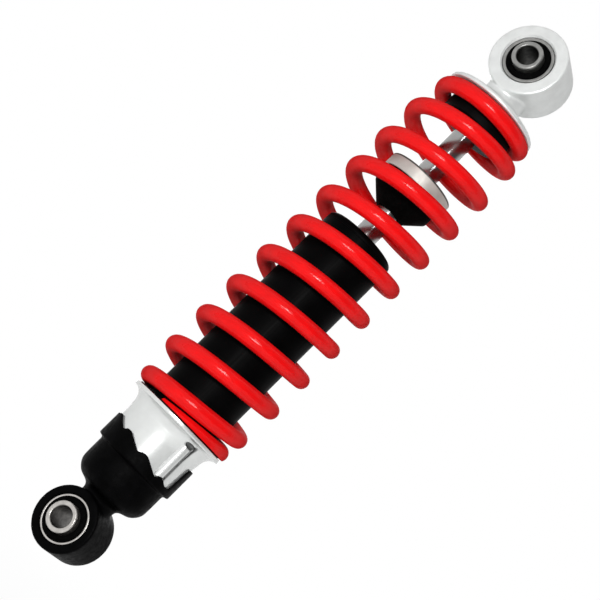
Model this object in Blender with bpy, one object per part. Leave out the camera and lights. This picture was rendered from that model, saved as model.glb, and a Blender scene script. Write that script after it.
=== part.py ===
"""Rear shock absorber of a small motorcycle, modelled as the pieces it comes apart into.

The shock stands upright: its axis is Z and the bolts of both eyes run along Y.
The origin is the centre of the upper eye. Heights in the outlines below are
in millimetres above the centre of the lower eye.
"""
import math

import bmesh
import bpy
from mathutils import Matrix, Vector

MM = 0.001

# Driving dimensions, in millimetres
EYE_TO_EYE = 300.0
GAP = 0.3
ROD_RADIUS = 6.0
ROD_STUD_RADIUS = 4.0
TUBE_RADIUS = 19.1
TUBE_BORE_RADIUS = 17.2
TUBE_TOP = 181.9
INNER_TUBE_RADIUS = 13.2
INNER_TUBE_BORE_RADIUS = 12.0

BOLT_BORE_RADIUS = 5.1
SLEEVE_RADIUS = 7.5
RUBBER_INSET = 0.6
RUBBER_CHAMFER = 0.8
LOWER_EYE_RADIUS = 16.0
LOWER_EYE_LENGTH = 22.0
LOWER_EYE_BORE_RADIUS = 12.0
LOWER_RUBBER_RADIUS = 10.6
LOWER_SLEEVE_LENGTH = 29.0
UPPER_EYE_RADIUS = 19.0
UPPER_EYE_LENGTH = 23.0
UPPER_EYE_BORE_RADIUS = 12.5
UPPER_RUBBER_RADIUS = 10.5
UPPER_SLEEVE_LENGTH = 30.6

# The preload cam: four seats on each half of the ring above the bracket's cup, and one stop
CAM_POSITIONS = 4
CAM_PITCH_DEG = 36.0
CAM_STEP = 2.6
CAM_LOWEST = 43.1
CAM_NOTCH_DEPTH = 1.6
CAM_STOP_TOP = 54.4
CAM_FIRST_ANGLE_DEG = -28.0
CAM_SECTORS = 80
CAM_RING_RADIUS = 21.7
CAM_RING_BORE_RADIUS = 20.7
CAM_FLOOR = 38.2
DOG_WIDTH = 4.0
DOG_CLEARANCE = 1.0
COLLAR_TOP = 66.6
BUMP_STOP_SHOULDER = 211.0
PISTON_NUT_FLATS = 13.0
LOCK_NUT_FLATS = 19.0

# The coil spring, wound right-handed, with both end coils closed and ground thin
WIRE_RADIUS = 4.0
COIL_RADIUS = 26.4
END_COIL_RADIUS = 24.5
COIL_TURNS = 11.61
COIL_FOOT = 67.8
COIL_HEAD = 269.8
COIL_POINTS_PER_TURN = 10
COIL_TIP_ANGLE_DEG = -83.0
CLOSED_TURNS = 0.57
LIFT_TURNS = 0.65
WIDEN_TURNS = 1.9
TIP_WIRE_RADIUS = 1.2
TIP_TURNS = 0.36
LEAST_COIL_GAP = 0.4

# Facets round a full turn
FINE = 36
MEDIUM = 28
COARSE = 20
NUT_FACETS = 24
SHARP_ANGLE_DEG = 30.0
ROUND = 2.0 * math.pi


def remove_everything():
    for old in list(bpy.data.objects):
        bpy.data.objects.remove(old, do_unlink=True)


def finish(name, colour, roughness, metallic):
    material = bpy.data.materials.new(name)
    material.use_nodes = True
    shader = material.node_tree.nodes["Principled BSDF"]
    shader.inputs["Base Color"].default_value = (*colour, 1.0)
    shader.inputs["Roughness"].default_value = roughness
    shader.inputs["Metallic"].default_value = metallic
    return material


def make_finishes():
    return {
        "black_paint": finish("black_paint", (0.012, 0.012, 0.013), 0.35, 0.0),
        "cast_aluminium": finish("cast_aluminium", (0.78, 0.79, 0.78), 0.38, 1.0),
        "chrome": finish("chrome", (0.72, 0.71, 0.70), 0.12, 1.0),
        "bare_steel": finish("bare_steel", (0.52, 0.50, 0.48), 0.42, 1.0),
        "plated_steel": finish("plated_steel", (0.76, 0.72, 0.64), 0.35, 1.0),
        "red_enamel": finish("red_enamel", (0.82, 0.008, 0.008), 0.22, 0.0),
        "rubber": finish("rubber", (0.012, 0.012, 0.012), 0.7, 0.0),
        "bronze": finish("bronze", (0.55, 0.36, 0.16), 0.35, 1.0),
        "nylon": finish("nylon", (0.02, 0.02, 0.02), 0.5, 0.0),
    }


def make_pivot(name, height, parent=None):
    """An empty on a joint's axis, at a height above the lower eye."""
    pivot = bpy.data.objects.new(name, None)
    pivot.empty_display_size = 20.0 * MM
    bpy.context.scene.collection.objects.link(pivot)
    world = Vector((0.0, 0.0, (height - EYE_TO_EYE) * MM))
    pivot["world"] = world
    pivot.parent = parent
    pivot.location = world - Vector(parent["world"]) if parent else world
    return pivot


def add_object(name, mesh, pivot, material, height=0.0):
    """An object under its joint's empty, with its own zero at a height above the lower eye."""
    mesh.shade_smooth()
    mesh.set_sharp_from_angle(angle=math.radians(SHARP_ANGLE_DEG))
    part = bpy.data.objects.new(name, mesh)
    bpy.context.scene.collection.objects.link(part)
    part.data.materials.append(material)
    part.parent = pivot
    part.location = Vector((0.0, 0.0, (height - EYE_TO_EYE) * MM)) - Vector(pivot["world"])
    return part


def make_guide(shape):
    """A shape that only cuts or joins another one."""
    shape.hide_render = True
    shape.display_type = "WIRE"
    return shape


def combine(target, tool, operation):
    modifier = target.modifiers.new(operation.lower() + "_" + tool.name, "BOOLEAN")
    modifier.operation = operation
    modifier.object = make_guide(tool)


def spin_outline(outline, facets, start=0.0):
    """A turned body about Z. An outline from axis to axis is solid, any other one is a ring."""
    shape = bmesh.new()
    corners = []
    for radius, height in outline:
        place = (radius * MM * math.cos(start), radius * MM * math.sin(start), height * MM)
        corners.append(shape.verts.new(place))
    edges = [shape.edges.new(pair) for pair in zip(corners, corners[1:])]
    if outline[0][0] > 0.0:
        edges.append(shape.edges.new((corners[-1], corners[0])))
    bmesh.ops.spin(shape, geom=corners + edges, cent=(0.0, 0.0, 0.0), axis=(0.0, 0.0, 1.0),
                   angle=ROUND, steps=facets, use_merge=True)
    bmesh.ops.remove_doubles(shape, verts=shape.verts, dist=0.001 * MM)
    bmesh.ops.recalc_face_normals(shape, faces=shape.faces)
    return shape


def to_mesh(name, shape):
    mesh = bpy.data.meshes.new(name)
    shape.to_mesh(mesh)
    shape.free()
    return mesh


def turned(name, outline, pivot, material, facets=MEDIUM):
    """A piece turned about the shock's own axis."""
    return add_object(name, to_mesh(name, spin_outline(outline, facets)), pivot, material)


def across(name, outline, eye_height, pivot, material, facets=FINE):
    """A piece turned about an eye's bolt axis, which runs along Y."""
    shape = spin_outline(outline, facets)
    bmesh.ops.rotate(shape, verts=shape.verts, matrix=Matrix.Rotation(math.pi / 2.0, 3, "X"))
    return add_object(name, to_mesh(name, shape), pivot, material, eye_height)


def ring_outline(inner, outer, low, high, chamfer=0.0):
    if chamfer == 0.0:
        return [(inner, low), (outer, low), (outer, high), (inner, high)]
    return [(inner, low), (outer - chamfer, low), (outer, low + chamfer),
            (outer, high - chamfer), (outer - chamfer, high), (inner, high)]


def plug_outline(radius, low, high):
    return [(0.0, low), (radius, low), (radius, high), (0.0, high)]


def hexagon_nut(name, across_flats, bore, low, high, pivot, material):
    """A nut with a round bore. Its outer corners are drawn in from a circle to the six flats."""
    corner_radius = across_flats / math.sqrt(3.0)
    shape = spin_outline(ring_outline(bore, corner_radius, low, high), NUT_FACETS)
    sixth = math.radians(60.0)
    for corner in shape.verts:
        if corner.co.xy.length > (bore + GAP) * MM:
            off_flat = (math.atan2(corner.co.y, corner.co.x) % sixth) - sixth / 2.0
            corner.co.xy *= across_flats / 2.0 / math.cos(off_flat) / corner_radius
    return add_object(name, to_mesh(name, shape), pivot, material)


def cam_height(sector):
    """Top of the cam ring, some sectors on from the lowest seat, which is at sector 0."""
    per_position = round(CAM_SECTORS * CAM_PITCH_DEG / 360.0)
    half_ring = CAM_SECTORS // 2
    seat_half = 1
    valley_last = 6
    stop_last = 12
    highest_seat = half_ring - (CAM_POSITIONS - 1) * per_position
    along = sector % half_ring
    if along <= seat_half:
        return CAM_LOWEST
    if along <= valley_last:
        return CAM_LOWEST - CAM_NOTCH_DEPTH
    if along <= highest_seat + seat_half:
        is_stop = sector < half_ring and along <= stop_last
        return CAM_STOP_TOP if is_stop else CAM_LOWEST + (CAM_POSITIONS - 1) * CAM_STEP
    climbed, past_seat = divmod(half_ring - along, per_position)
    seat = CAM_LOWEST + climbed * CAM_STEP
    if past_seat <= seat_half:
        return seat
    share = (past_seat - seat_half - 1) / (per_position - 2 * seat_half - 1)
    return seat - CAM_NOTCH_DEPTH + share * (CAM_STEP + CAM_NOTCH_DEPTH)


def make_bracket(pivot, material):
    """Lower casting: the eye, its neck, the cup round the tube's foot and the cam ring."""
    neck = 8.7
    cup = 19.3
    cup_bore = 15.8
    cup_floor = 25.6
    ring_foot = 37.4
    outline = [(0.0, 8.0), (neck, 8.0), (neck, 17.5), (10.4, 18.4), (16.3, 20.8), (18.6, 24.0),
               (cup, 27.5), (cup, ring_foot), (CAM_RING_RADIUS, ring_foot), (CAM_RING_RADIUS, CAM_STOP_TOP),
               (CAM_RING_BORE_RADIUS, CAM_STOP_TOP), (CAM_RING_BORE_RADIUS, CAM_FLOOR),
               (cup_bore, CAM_FLOOR), (cup_bore, cup_floor), (0.0, cup_floor)]
    start = math.radians(CAM_FIRST_ANGLE_DEG)
    shape = spin_outline(outline, CAM_SECTORS, start)
    for corner in shape.verts:
        if corner.co.z > (CAM_STOP_TOP - GAP) * MM:
            turn = (math.atan2(corner.co.y, corner.co.x) - start) % ROUND
            corner.co.z = cam_height(round(turn / ROUND * CAM_SECTORS) % CAM_SECTORS) * MM
    bracket = add_object("lower_bracket", to_mesh("lower_bracket", shape), pivot, material)
    half = LOWER_EYE_LENGTH / 2.0
    eye = across("lower_eye_barrel", plug_outline(LOWER_EYE_RADIUS, -half, half), 0.0, pivot, material)
    bore = across("lower_eye_bore", plug_outline(LOWER_EYE_BORE_RADIUS, -2.0 * half, 2.0 * half),
                  0.0, pivot, material)
    combine(bracket, eye, "UNION")
    combine(bracket, bore, "DIFFERENCE")
    return bracket


def make_casting(pivot, material):
    """Upper casting: the spring's disc, its cone and neck, and the upper eye."""
    socket = ROD_RADIUS + GAP
    socket_top = 280.6
    disc = 25.6
    disc_foot = 270.9
    neck = 10.8
    outline = [(0.0, socket_top), (socket, socket_top), (socket, disc_foot), (disc - 0.4, disc_foot),
               (disc, disc_foot + 0.4), (disc, 273.1), (disc - 0.8, 273.9), (13.0, 280.6), (neck, 283.2),
               (neck, 292.0), (0.0, 292.0)]
    casting = turned("upper_casting", outline, pivot, material, FINE)
    half = UPPER_EYE_LENGTH / 2.0
    eye = across("upper_eye_barrel", plug_outline(UPPER_EYE_RADIUS, -half, half),
                 EYE_TO_EYE, pivot, material)
    bore = across("upper_eye_bore", plug_outline(UPPER_EYE_BORE_RADIUS, -2.0 * half, 2.0 * half),
                  EYE_TO_EYE, pivot, material)
    combine(casting, eye, "UNION")
    combine(casting, bore, "DIFFERENCE")
    return casting


def make_bush(prefix, eye_height, eye_bore, rubber_radius, eye_length, pivot, finishes):
    """The steel shell and the rubber pressed into an eye."""
    half = eye_length / 2.0
    shell = ring_outline(rubber_radius + GAP, eye_bore - GAP, -half, half)
    across(prefix + "_bush_shell", shell, eye_height, pivot, finishes["bare_steel"])
    rubber = ring_outline(SLEEVE_RADIUS + GAP, rubber_radius, RUBBER_INSET - half, half - RUBBER_INSET,
                          RUBBER_CHAMFER)
    across(prefix + "_bush_rubber", rubber, eye_height, pivot, finishes["rubber"])


def make_sleeve(name, eye_height, length, pivot, material):
    outline = ring_outline(BOLT_BORE_RADIUS, SLEEVE_RADIUS, -length / 2.0, length / 2.0)
    across(name, outline, eye_height, pivot, material, MEDIUM)


def make_collar(pivot, material):
    """Preload collar: a skirt round the tube, a flared flange and two dogs that stand on the cam."""
    bore = TUBE_RADIUS + GAP
    skirt = CAM_RING_BORE_RADIUS - GAP
    foot = CAM_FLOOR + 2.0 * GAP
    outline = [(bore, foot), (skirt, foot), (skirt, 57.5), (20.8, 59.3), (21.8, 61.1), (23.4, 62.6),
               (25.4, 63.4), (26.2, 63.7), (26.4, 64.4), (26.4, 66.4), (26.2, COLLAR_TOP), (bore, COLLAR_TOP)]
    collar = turned("preload_collar", outline, pivot, material, FINE)
    dog_foot = CAM_LOWEST + DOG_CLEARANCE
    dog_head = 62.5
    dog_inside = skirt - 0.5
    dog_outside = CAM_RING_RADIUS - 0.1
    for index in range(2):
        shape = bmesh.new()
        bmesh.ops.create_cube(shape, size=1.0)
        size = (dog_outside - dog_inside, DOG_WIDTH, dog_head - dog_foot)
        bmesh.ops.scale(shape, verts=shape.verts, vec=[side * MM for side in size])
        middle = ((dog_outside + dog_inside) / 2.0, 0.0, (dog_head + dog_foot) / 2.0)
        bmesh.ops.translate(shape, verts=shape.verts, vec=[place * MM for place in middle])
        angle = math.radians(CAM_FIRST_ANGLE_DEG + 180.0 * index)
        bmesh.ops.rotate(shape, verts=shape.verts, matrix=Matrix.Rotation(angle, 3, "Z"))
        dog = add_object("collar_dog_%d" % (index + 1), to_mesh("collar_dog", shape), pivot, material)
        combine(collar, dog, "UNION")
    return collar


def coil_lift(turns, pitch):
    """Height that the wire has climbed after some turns from its flat end."""
    if turns <= CLOSED_TURNS:
        return 0.0
    if turns <= CLOSED_TURNS + LIFT_TURNS:
        return pitch / (2.0 * LIFT_TURNS) * (turns - CLOSED_TURNS) ** 2
    return pitch * (turns - CLOSED_TURNS - LIFT_TURNS / 2.0)


def coil_point(turns):
    """Centre and radius of the wire, some turns up from the lower tip."""
    from_end = min(turns, COIL_TURNS - turns)
    wire = WIRE_RADIUS
    if from_end < TIP_TURNS:
        wire = TIP_WIRE_RADIUS + (WIRE_RADIUS - TIP_WIRE_RADIUS) * from_end / TIP_TURNS
    height_span = COIL_HEAD - COIL_FOOT - 2.0 * WIRE_RADIUS
    pitch = height_span / (COIL_TURNS - 2.0 * CLOSED_TURNS - LIFT_TURNS)
    climbed = wire + coil_lift(from_end, pitch)
    height = COIL_FOOT + climbed if turns < COIL_TURNS / 2.0 else COIL_HEAD - climbed
    share = min(1.0, from_end / WIDEN_TURNS)
    widen = share * share * (3.0 - 2.0 * share)
    radius = END_COIL_RADIUS + (COIL_RADIUS - END_COIL_RADIUS) * widen
    angle = math.radians(COIL_TIP_ANGLE_DEG) + turns * ROUND
    return Vector((radius * math.cos(angle), radius * math.sin(angle), height)), wire


def print_coil_gap(samples):
    """Measures the least space between the wire and its own neighbouring turns."""
    half_turn = COIL_POINTS_PER_TURN // 2
    least = min((here - there).length - wire - other_wire
                for index, (here, wire) in enumerate(samples)
                for there, other_wire in samples[index + half_turn:])
    print("coil_spring least gap to itself: %.2f mm (over %.1f mm)" % (least, LEAST_COIL_GAP))


def make_spring(pivot, material):
    curve = bpy.data.curves.new("coil_spring", "CURVE")
    curve.dimensions = "3D"
    curve.bevel_depth = WIRE_RADIUS * MM
    curve.bevel_resolution = 1
    curve.use_fill_caps = True
    steps = round(COIL_TURNS * COIL_POINTS_PER_TURN)
    samples = [coil_point(COIL_TURNS * index / steps) for index in range(steps + 1)]
    spline = curve.splines.new("POLY")
    spline.points.add(steps)
    for point, (place, wire) in zip(spline.points, samples):
        point.co = (*(place * MM), 1.0)
        point.radius = wire / WIRE_RADIUS
    print_coil_gap(samples)
    spring = bpy.data.objects.new("coil_spring", curve)
    bpy.context.scene.collection.objects.link(spring)
    spring.data.materials.append(material)
    spring.parent = pivot
    spring.location = Vector((0.0, 0.0, -EYE_TO_EYE * MM)) - Vector(pivot["world"])


def make_lower_tubes(pivot, finishes):
    """The damper's body: outer tube, inner tube and base valve."""
    foot_radius = 15.5
    foot_bore = 13.6
    outline = [(0.0, 26.0), (foot_radius, 26.0), (foot_radius, CAM_FLOOR + GAP),
               (TUBE_RADIUS, CAM_FLOOR + GAP), (TUBE_RADIUS, TUBE_TOP), (TUBE_BORE_RADIUS, TUBE_TOP),
               (TUBE_BORE_RADIUS, 42.0), (foot_bore, 42.0), (foot_bore, 30.0), (0.0, 30.0)]
    turned("damper_tube", outline, pivot, finishes["black_paint"], FINE)
    turned("inner_tube", ring_outline(INNER_TUBE_BORE_RADIUS, INNER_TUBE_RADIUS, 33.3, 159.7),
           pivot, finishes["bare_steel"])
    valve = [(0.0, 30.3), (13.3, 30.3), (13.3, 33.0), (11.6, 33.0), (11.6, 38.0), (5.0, 40.0), (0.0, 40.0)]
    turned("base_valve", valve, pivot, finishes["bare_steel"], COARSE)


def make_head(pivot, finishes):
    """What closes the tube's top and guides the rod."""
    slide = ROD_RADIUS + GAP
    plug = TUBE_BORE_RADIUS - GAP
    seal_outside = 8.6
    cap_bore = seal_outside + GAP
    cap_radius = TUBE_RADIUS + 0.2
    cap = [(cap_bore, 176.0), (plug, 176.0), (plug, TUBE_TOP + GAP), (cap_radius, TUBE_TOP + GAP),
           (cap_radius, 183.8), (17.8, 185.4), (cap_bore, 185.4)]
    turned("tube_end_cap", cap, pivot, finishes["black_paint"], FINE)
    wiper = [(slide, 177.0), (seal_outside, 177.0), (seal_outside, 184.9), (7.4, 184.9), (slide, 185.8)]
    turned("wiper_seal", wiper, pivot, finishes["rubber"], COARSE)
    turned("oil_seal", ring_outline(slide, 13.0, 170.5, 175.7), pivot, finishes["rubber"], COARSE)
    bush_outside = 8.1
    guide_bore = bush_outside + GAP
    groove = 14.6
    spigot = INNER_TUBE_BORE_RADIUS - 0.4
    guide = [(guide_bore, 156.0), (spigot, 156.0), (spigot, 160.0), (plug, 160.0), (plug, 164.0),
             (groove, 164.0), (groove, 167.0), (plug, 167.0), (plug, 170.2), (guide_bore, 170.2)]
    turned("rod_guide", guide, pivot, finishes["cast_aluminium"])
    turned("rod_guide_bush", ring_outline(slide, bush_outside, 156.2, 170.0),
           pivot, finishes["bronze"], COARSE)
    o_ring = ring_outline(groove + GAP, plug - 0.1, 164.6, 166.4, 0.5)
    turned("guide_o_ring", o_ring, pivot, finishes["rubber"], COARSE)


def make_piston_set(pivot, finishes):
    """The rod with what is threaded on its lower end."""
    stud_bore = ROD_STUD_RADIUS + GAP
    shoulder = 134.0
    rod = [(0.0, 112.0), (ROD_STUD_RADIUS, 112.0), (ROD_STUD_RADIUS, shoulder), (ROD_RADIUS, shoulder),
           (ROD_RADIUS, 279.6), (ROD_RADIUS - 0.7, 280.3), (0.0, 280.3)]
    turned("damper_rod", rod, pivot, finishes["chrome"])
    stop = ring_outline(ROD_RADIUS + GAP, 9.5, shoulder + GAP, 143.0, 1.0)
    turned("top_out_stop", stop, pivot, finishes["rubber"], COARSE)
    shim = 8.8
    turned("rebound_shims", ring_outline(stud_bore, shim, 132.5, 133.6),
           pivot, finishes["bare_steel"], COARSE)
    crown = INNER_TUBE_BORE_RADIUS - 0.5
    groove = 10.4
    piston = [(stud_bore, 122.0), (crown, 122.0), (crown, 125.0), (groove, 125.0), (groove, 129.0),
              (crown, 129.0), (crown, 132.2), (stud_bore, 132.2)]
    turned("piston", piston, pivot, finishes["bronze"], COARSE)
    ring = ring_outline(groove + GAP, INNER_TUBE_BORE_RADIUS - GAP, 125.0 + GAP, 129.0 - GAP)
    turned("piston_ring", ring, pivot, finishes["nylon"], COARSE)
    turned("compression_shims", ring_outline(stud_bore, shim, 120.6, 121.7),
           pivot, finishes["bare_steel"], COARSE)
    hexagon_nut("piston_nut", PISTON_NUT_FLATS, stud_bore, 113.5, 120.3, pivot, finishes["bare_steel"])


def make_bump_stop(pivot, finishes):
    slide = ROD_RADIUS + GAP
    tip = 202.8
    body = 16.2
    top = 222.5
    stop = [(slide, tip), (7.4, tip), (body, BUMP_STOP_SHOULDER), (body, top), (slide, top)]
    turned("bump_stop", stop, pivot, finishes["rubber"])
    skirt_bore = 16.9
    skirt = 18.0
    skirt_foot = 218.7
    cup = [(slide, top + GAP), (skirt_bore, top + GAP), (skirt_bore, skirt_foot), (skirt, skirt_foot),
           (skirt, 224.7), (skirt - 0.6, 225.3), (slide, 225.3)]
    turned("bump_stop_cup", cup, pivot, finishes["plated_steel"])


def make_spring_guide(pivot, material):
    """Top hat that centres the spring under the casting, open above for the rod's lock nut."""
    rod_hole = 6.6
    barrel = 18.2
    foot = 257.6
    floor = 259.8
    hollow = 12.2
    flange = 24.4
    top = 270.6
    outline = [(rod_hole, foot), (barrel - 1.0, foot), (barrel, foot + 1.0), (barrel, COIL_HEAD + GAP),
               (flange, COIL_HEAD + GAP), (flange, top), (hollow, top), (hollow, floor), (rod_hole, floor)]
    turned("upper_spring_guide", outline, pivot, material)


def main():
    remove_everything()
    finishes = make_finishes()
    upper_bolt = make_pivot("upper_bolt_axis", EYE_TO_EYE)
    upper_end = make_pivot("upper_eye_axis", EYE_TO_EYE, upper_bolt)
    spring_top = make_pivot("swivel_axis", COIL_HEAD, upper_end)
    spring_seat = make_pivot("compression_axis", COIL_FOOT, spring_top)
    bump_carrier = make_pivot("bump_stop_axis", BUMP_STOP_SHOULDER, upper_end)
    collar_turn = make_pivot("collar_axis", COLLAR_TOP, spring_seat)
    lower_end = make_pivot("cam_axis", CAM_FLOOR, spring_seat)
    lower_bolt = make_pivot("lower_eye_axis", 0.0, lower_end)

    make_sleeve("upper_inner_sleeve", EYE_TO_EYE, UPPER_SLEEVE_LENGTH, upper_bolt, finishes["bare_steel"])
    make_casting(upper_end, finishes["cast_aluminium"])
    make_bush("upper", EYE_TO_EYE, UPPER_EYE_BORE_RADIUS, UPPER_RUBBER_RADIUS, UPPER_EYE_LENGTH,
              upper_end, finishes)
    make_piston_set(upper_end, finishes)
    hexagon_nut("rod_lock_nut", LOCK_NUT_FLATS, ROD_RADIUS + GAP, 261.0, 269.6,
                upper_end, finishes["bare_steel"])
    make_spring_guide(spring_top, finishes["nylon"])
    make_bump_stop(bump_carrier, finishes)
    make_spring(spring_seat, finishes["red_enamel"])
    washer = ring_outline(TUBE_RADIUS + 0.6, 25.8, COLLAR_TOP + GAP, COIL_FOOT - GAP)
    turned("spring_washer", washer, spring_seat, finishes["nylon"], FINE)
    make_collar(collar_turn, finishes["cast_aluminium"])
    make_bracket(lower_end, finishes["black_paint"])
    make_lower_tubes(lower_end, finishes)
    make_head(lower_end, finishes)
    make_bush("lower", 0.0, LOWER_EYE_BORE_RADIUS, LOWER_RUBBER_RADIUS, LOWER_EYE_LENGTH,
              lower_end, finishes)
    make_sleeve("lower_inner_sleeve", 0.0, LOWER_SLEEVE_LENGTH, lower_bolt, finishes["bare_steel"])


main()
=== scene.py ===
"""Rear shock absorber: its fine surfaces, its finishes and a plain studio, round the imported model.

Lengths in outlines are millimetres, and heights are taken from the centre of the lower eye.
Angles round the cam are degrees to the right of the side that faces the camera.
"""
import math
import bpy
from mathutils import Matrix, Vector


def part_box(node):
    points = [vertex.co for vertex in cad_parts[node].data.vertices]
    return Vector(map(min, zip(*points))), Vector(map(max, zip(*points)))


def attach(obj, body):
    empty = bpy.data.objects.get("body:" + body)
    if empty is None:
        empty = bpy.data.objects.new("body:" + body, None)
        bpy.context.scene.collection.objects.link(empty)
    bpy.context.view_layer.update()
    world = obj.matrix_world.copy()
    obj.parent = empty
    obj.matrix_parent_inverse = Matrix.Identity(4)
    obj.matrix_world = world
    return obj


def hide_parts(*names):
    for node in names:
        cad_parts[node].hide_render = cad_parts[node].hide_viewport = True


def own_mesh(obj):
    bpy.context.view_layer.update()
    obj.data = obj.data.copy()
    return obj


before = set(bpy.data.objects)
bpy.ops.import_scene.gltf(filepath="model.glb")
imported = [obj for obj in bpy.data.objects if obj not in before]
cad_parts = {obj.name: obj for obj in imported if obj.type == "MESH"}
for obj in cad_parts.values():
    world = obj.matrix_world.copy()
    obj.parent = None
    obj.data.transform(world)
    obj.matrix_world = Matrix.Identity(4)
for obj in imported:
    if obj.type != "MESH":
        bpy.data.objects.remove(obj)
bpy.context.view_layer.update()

from types import SimpleNamespace

import bmesh
import bpy
from bpy.props import FloatProperty, FloatVectorProperty, IntProperty, PointerProperty
from mathutils import Matrix, Vector

bl_info = {
    "name": "Rear Shock Absorber",
    "version": (1, 0, 0),
    "blender": (4, 5, 0),
    "location": "View3D > Sidebar > Shock",
    "description": "Fine surfaces and finishes for a motorcycle's rear shock absorber",
    "category": "Object",
}

MM = 0.001
ROUND = 2.0 * math.pi
FINE = 128
BOLT_AXIS = Vector((0.0, 1.0, 0.0))
SHOCK_AXIS = Vector((0.0, 0.0, 1.0))
MERGE = 0.001 * MM
CREASE_DEG = 38.0
NOISE_LOW, NOISE_HIGH = 0.3, 0.7


def middle(node):
    low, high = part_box(node)
    return (low + high) / 2.0


LOWER_EYE = middle("lower_inner_sleeve")
UPPER_EYE = middle("upper_inner_sleeve")


def span(node):
    """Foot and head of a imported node, in millimetres above the lower eye."""
    return [(corner.z - LOWER_EYE.z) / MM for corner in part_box(node)]


def depth(node):
    """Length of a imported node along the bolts, in millimetres."""
    low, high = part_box(node)
    return (high.y - low.y) / MM


def length(name, description, millimetres):
    return FloatProperty(name=name, description=description, default=millimetres * MM,
                         unit="LENGTH", precision=5)


def angle(name, description, degrees):
    return FloatProperty(name=name, description=description, default=math.radians(degrees), subtype="ANGLE")


def part_turns(name, description, turns):
    return FloatProperty(name=name, description=description, default=turns)


def point(name, description, place):
    return FloatVectorProperty(name=name, description=description, default=place, size=3,
                               subtype="TRANSLATION", unit="LENGTH")


def tint(name, description, colour):
    return FloatVectorProperty(name=name, description=description, default=colour, size=3,
                               subtype="COLOR", min=0.0, max=1.0)


class ShockEyes(bpy.types.PropertyGroup):
    """Sizes of the two bolt eyes and their rubber bushes"""
    bolt_bore: length("Bolt bore", "Radius of the hole through each sleeve", 5.1)
    sleeve: length("Sleeve", "Outer radius of each sleeve", 7.5)
    upper_eye: length("Upper eye", "Outer radius of the upper eye", 19.0)
    upper_bore: length("Upper eye bore", "Radius of the upper eye's bore", 12.5)
    upper_shell: length("Upper shell", "Outer radius of the upper bush's steel shell", 12.2)
    upper_rubber: length("Upper rubber", "Outer radius of the upper bush's rubber", 10.5)
    upper_neck: length("Upper neck", "Radius of the neck under the upper eye", 10.8)
    disc: length("Disc", "Radius of the disc that the spring pushes on", 25.6)
    lower_eye: length("Lower eye", "Outer radius of the lower eye", 16.0)
    lower_bore: length("Lower eye bore", "Radius of the lower eye's bore", 12.0)
    lower_shell: length("Lower shell", "Outer radius of the lower bush's steel shell", 11.7)
    lower_rubber: length("Lower rubber", "Outer radius of the lower bush's rubber", 10.6)


class ShockDamper(bpy.types.PropertyGroup):
    """Sizes of the rod, the tube and what sits on them"""
    rod: length("Rod", "Radius of the chromed rod", 6.0)
    slide: length("Slide fit", "Radius of the holes that slide on the rod", 6.3)
    tube: length("Tube", "Outer radius of the black tube", 19.1)
    tube_bore: length("Tube bore", "Inner radius of the black tube", 17.2)
    bump_stop: length("Bump stop", "Radius of the rubber bump stop", 16.2)
    cup: length("Cup", "Radius of the plated cup on the bump stop", 18.0)
    guide: length("Spring guide", "Radius of the black guide inside the top coils", 18.2)


class ShockSpring(bpy.types.PropertyGroup):
    """Winding of the red spring"""
    wire: length("Wire", "Radius of the spring's wire", 4.0)
    coil: length("Coil", "Radius of the middle coils, at the wire's centre", 26.4)
    foot_coil: length("Foot coil", "Radius of the lowest coil, at the wire's centre", 23.4)
    head_coil: length("Head coil", "Radius of the topmost coil, at the wire's centre", 22.5)
    grind: length("Grind", "Depth ground off the wire at its two tips", 6.6)
    turns: FloatProperty(name="Turns", description="Turns from tip to tip", default=11.63, min=3.0)
    closed_foot: part_turns("Closed foot", "Turns that lie flat at the foot", 0.65)
    closed_head: part_turns("Closed head", "Turns that lie flat at the head", 0.605)
    lift: part_turns("Lift turns", "Turns over which the pitch grows", 0.5)
    widen: part_turns("Widening turns", "Turns over which the coil grows wide", 2.1)
    ground: part_turns("Ground turns", "Turns that are ground thin", 0.68)
    tip: angle("Tip angle", "Direction of the lower tip, from the X axis", -90.0)
    points: IntProperty(name="Points", description="Points along the wire for each turn", default=72, min=16)


class ShockCollar(bpy.types.PropertyGroup):
    """Sizes of the preload collar and the cam that it stands on"""
    skirt: length("Skirt", "Outer radius of the collar's skirt", 20.4)
    bore: length("Bore", "Radius of the collar's bore", 19.4)
    rim: length("Rim", "Radius of the flange under the spring", 26.4)
    rib: length("Rib", "Radius of each rib that stands on the cam", 2.8)
    cam_ring: length("Cam ring", "Outer radius of the stepped ring", 21.7)
    cam_bore: length("Cam bore", "Inner radius of the stepped ring", 20.7)
    lowest: length("Lowest seat", "Height of the lowest seat above the lower eye", 43.1)
    step: length("Step", "Rise from one seat to the next", 2.6)
    notch: length("Notch", "Depth of the notch beside each seat", 1.7)
    stop: length("Stop", "Height of the stop above the lower eye", 54.4)
    rib_place: angle("Rib place", "Where the first rib stands, right of the camera's side", 32.5)


class ShockBracket(bpy.types.PropertyGroup):
    """Sizes of the black lower casting"""
    cup: length("Cup", "Radius of the cup round the tube's foot", 19.3)
    waist: length("Waist", "Radius of the neck above the lower eye", 9.1)
    cup_bore: length("Cup bore", "Radius inside the cup", 15.8)
    grain: length("Mesh size", "Size of the casting's mesh cells", 0.45)


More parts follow.
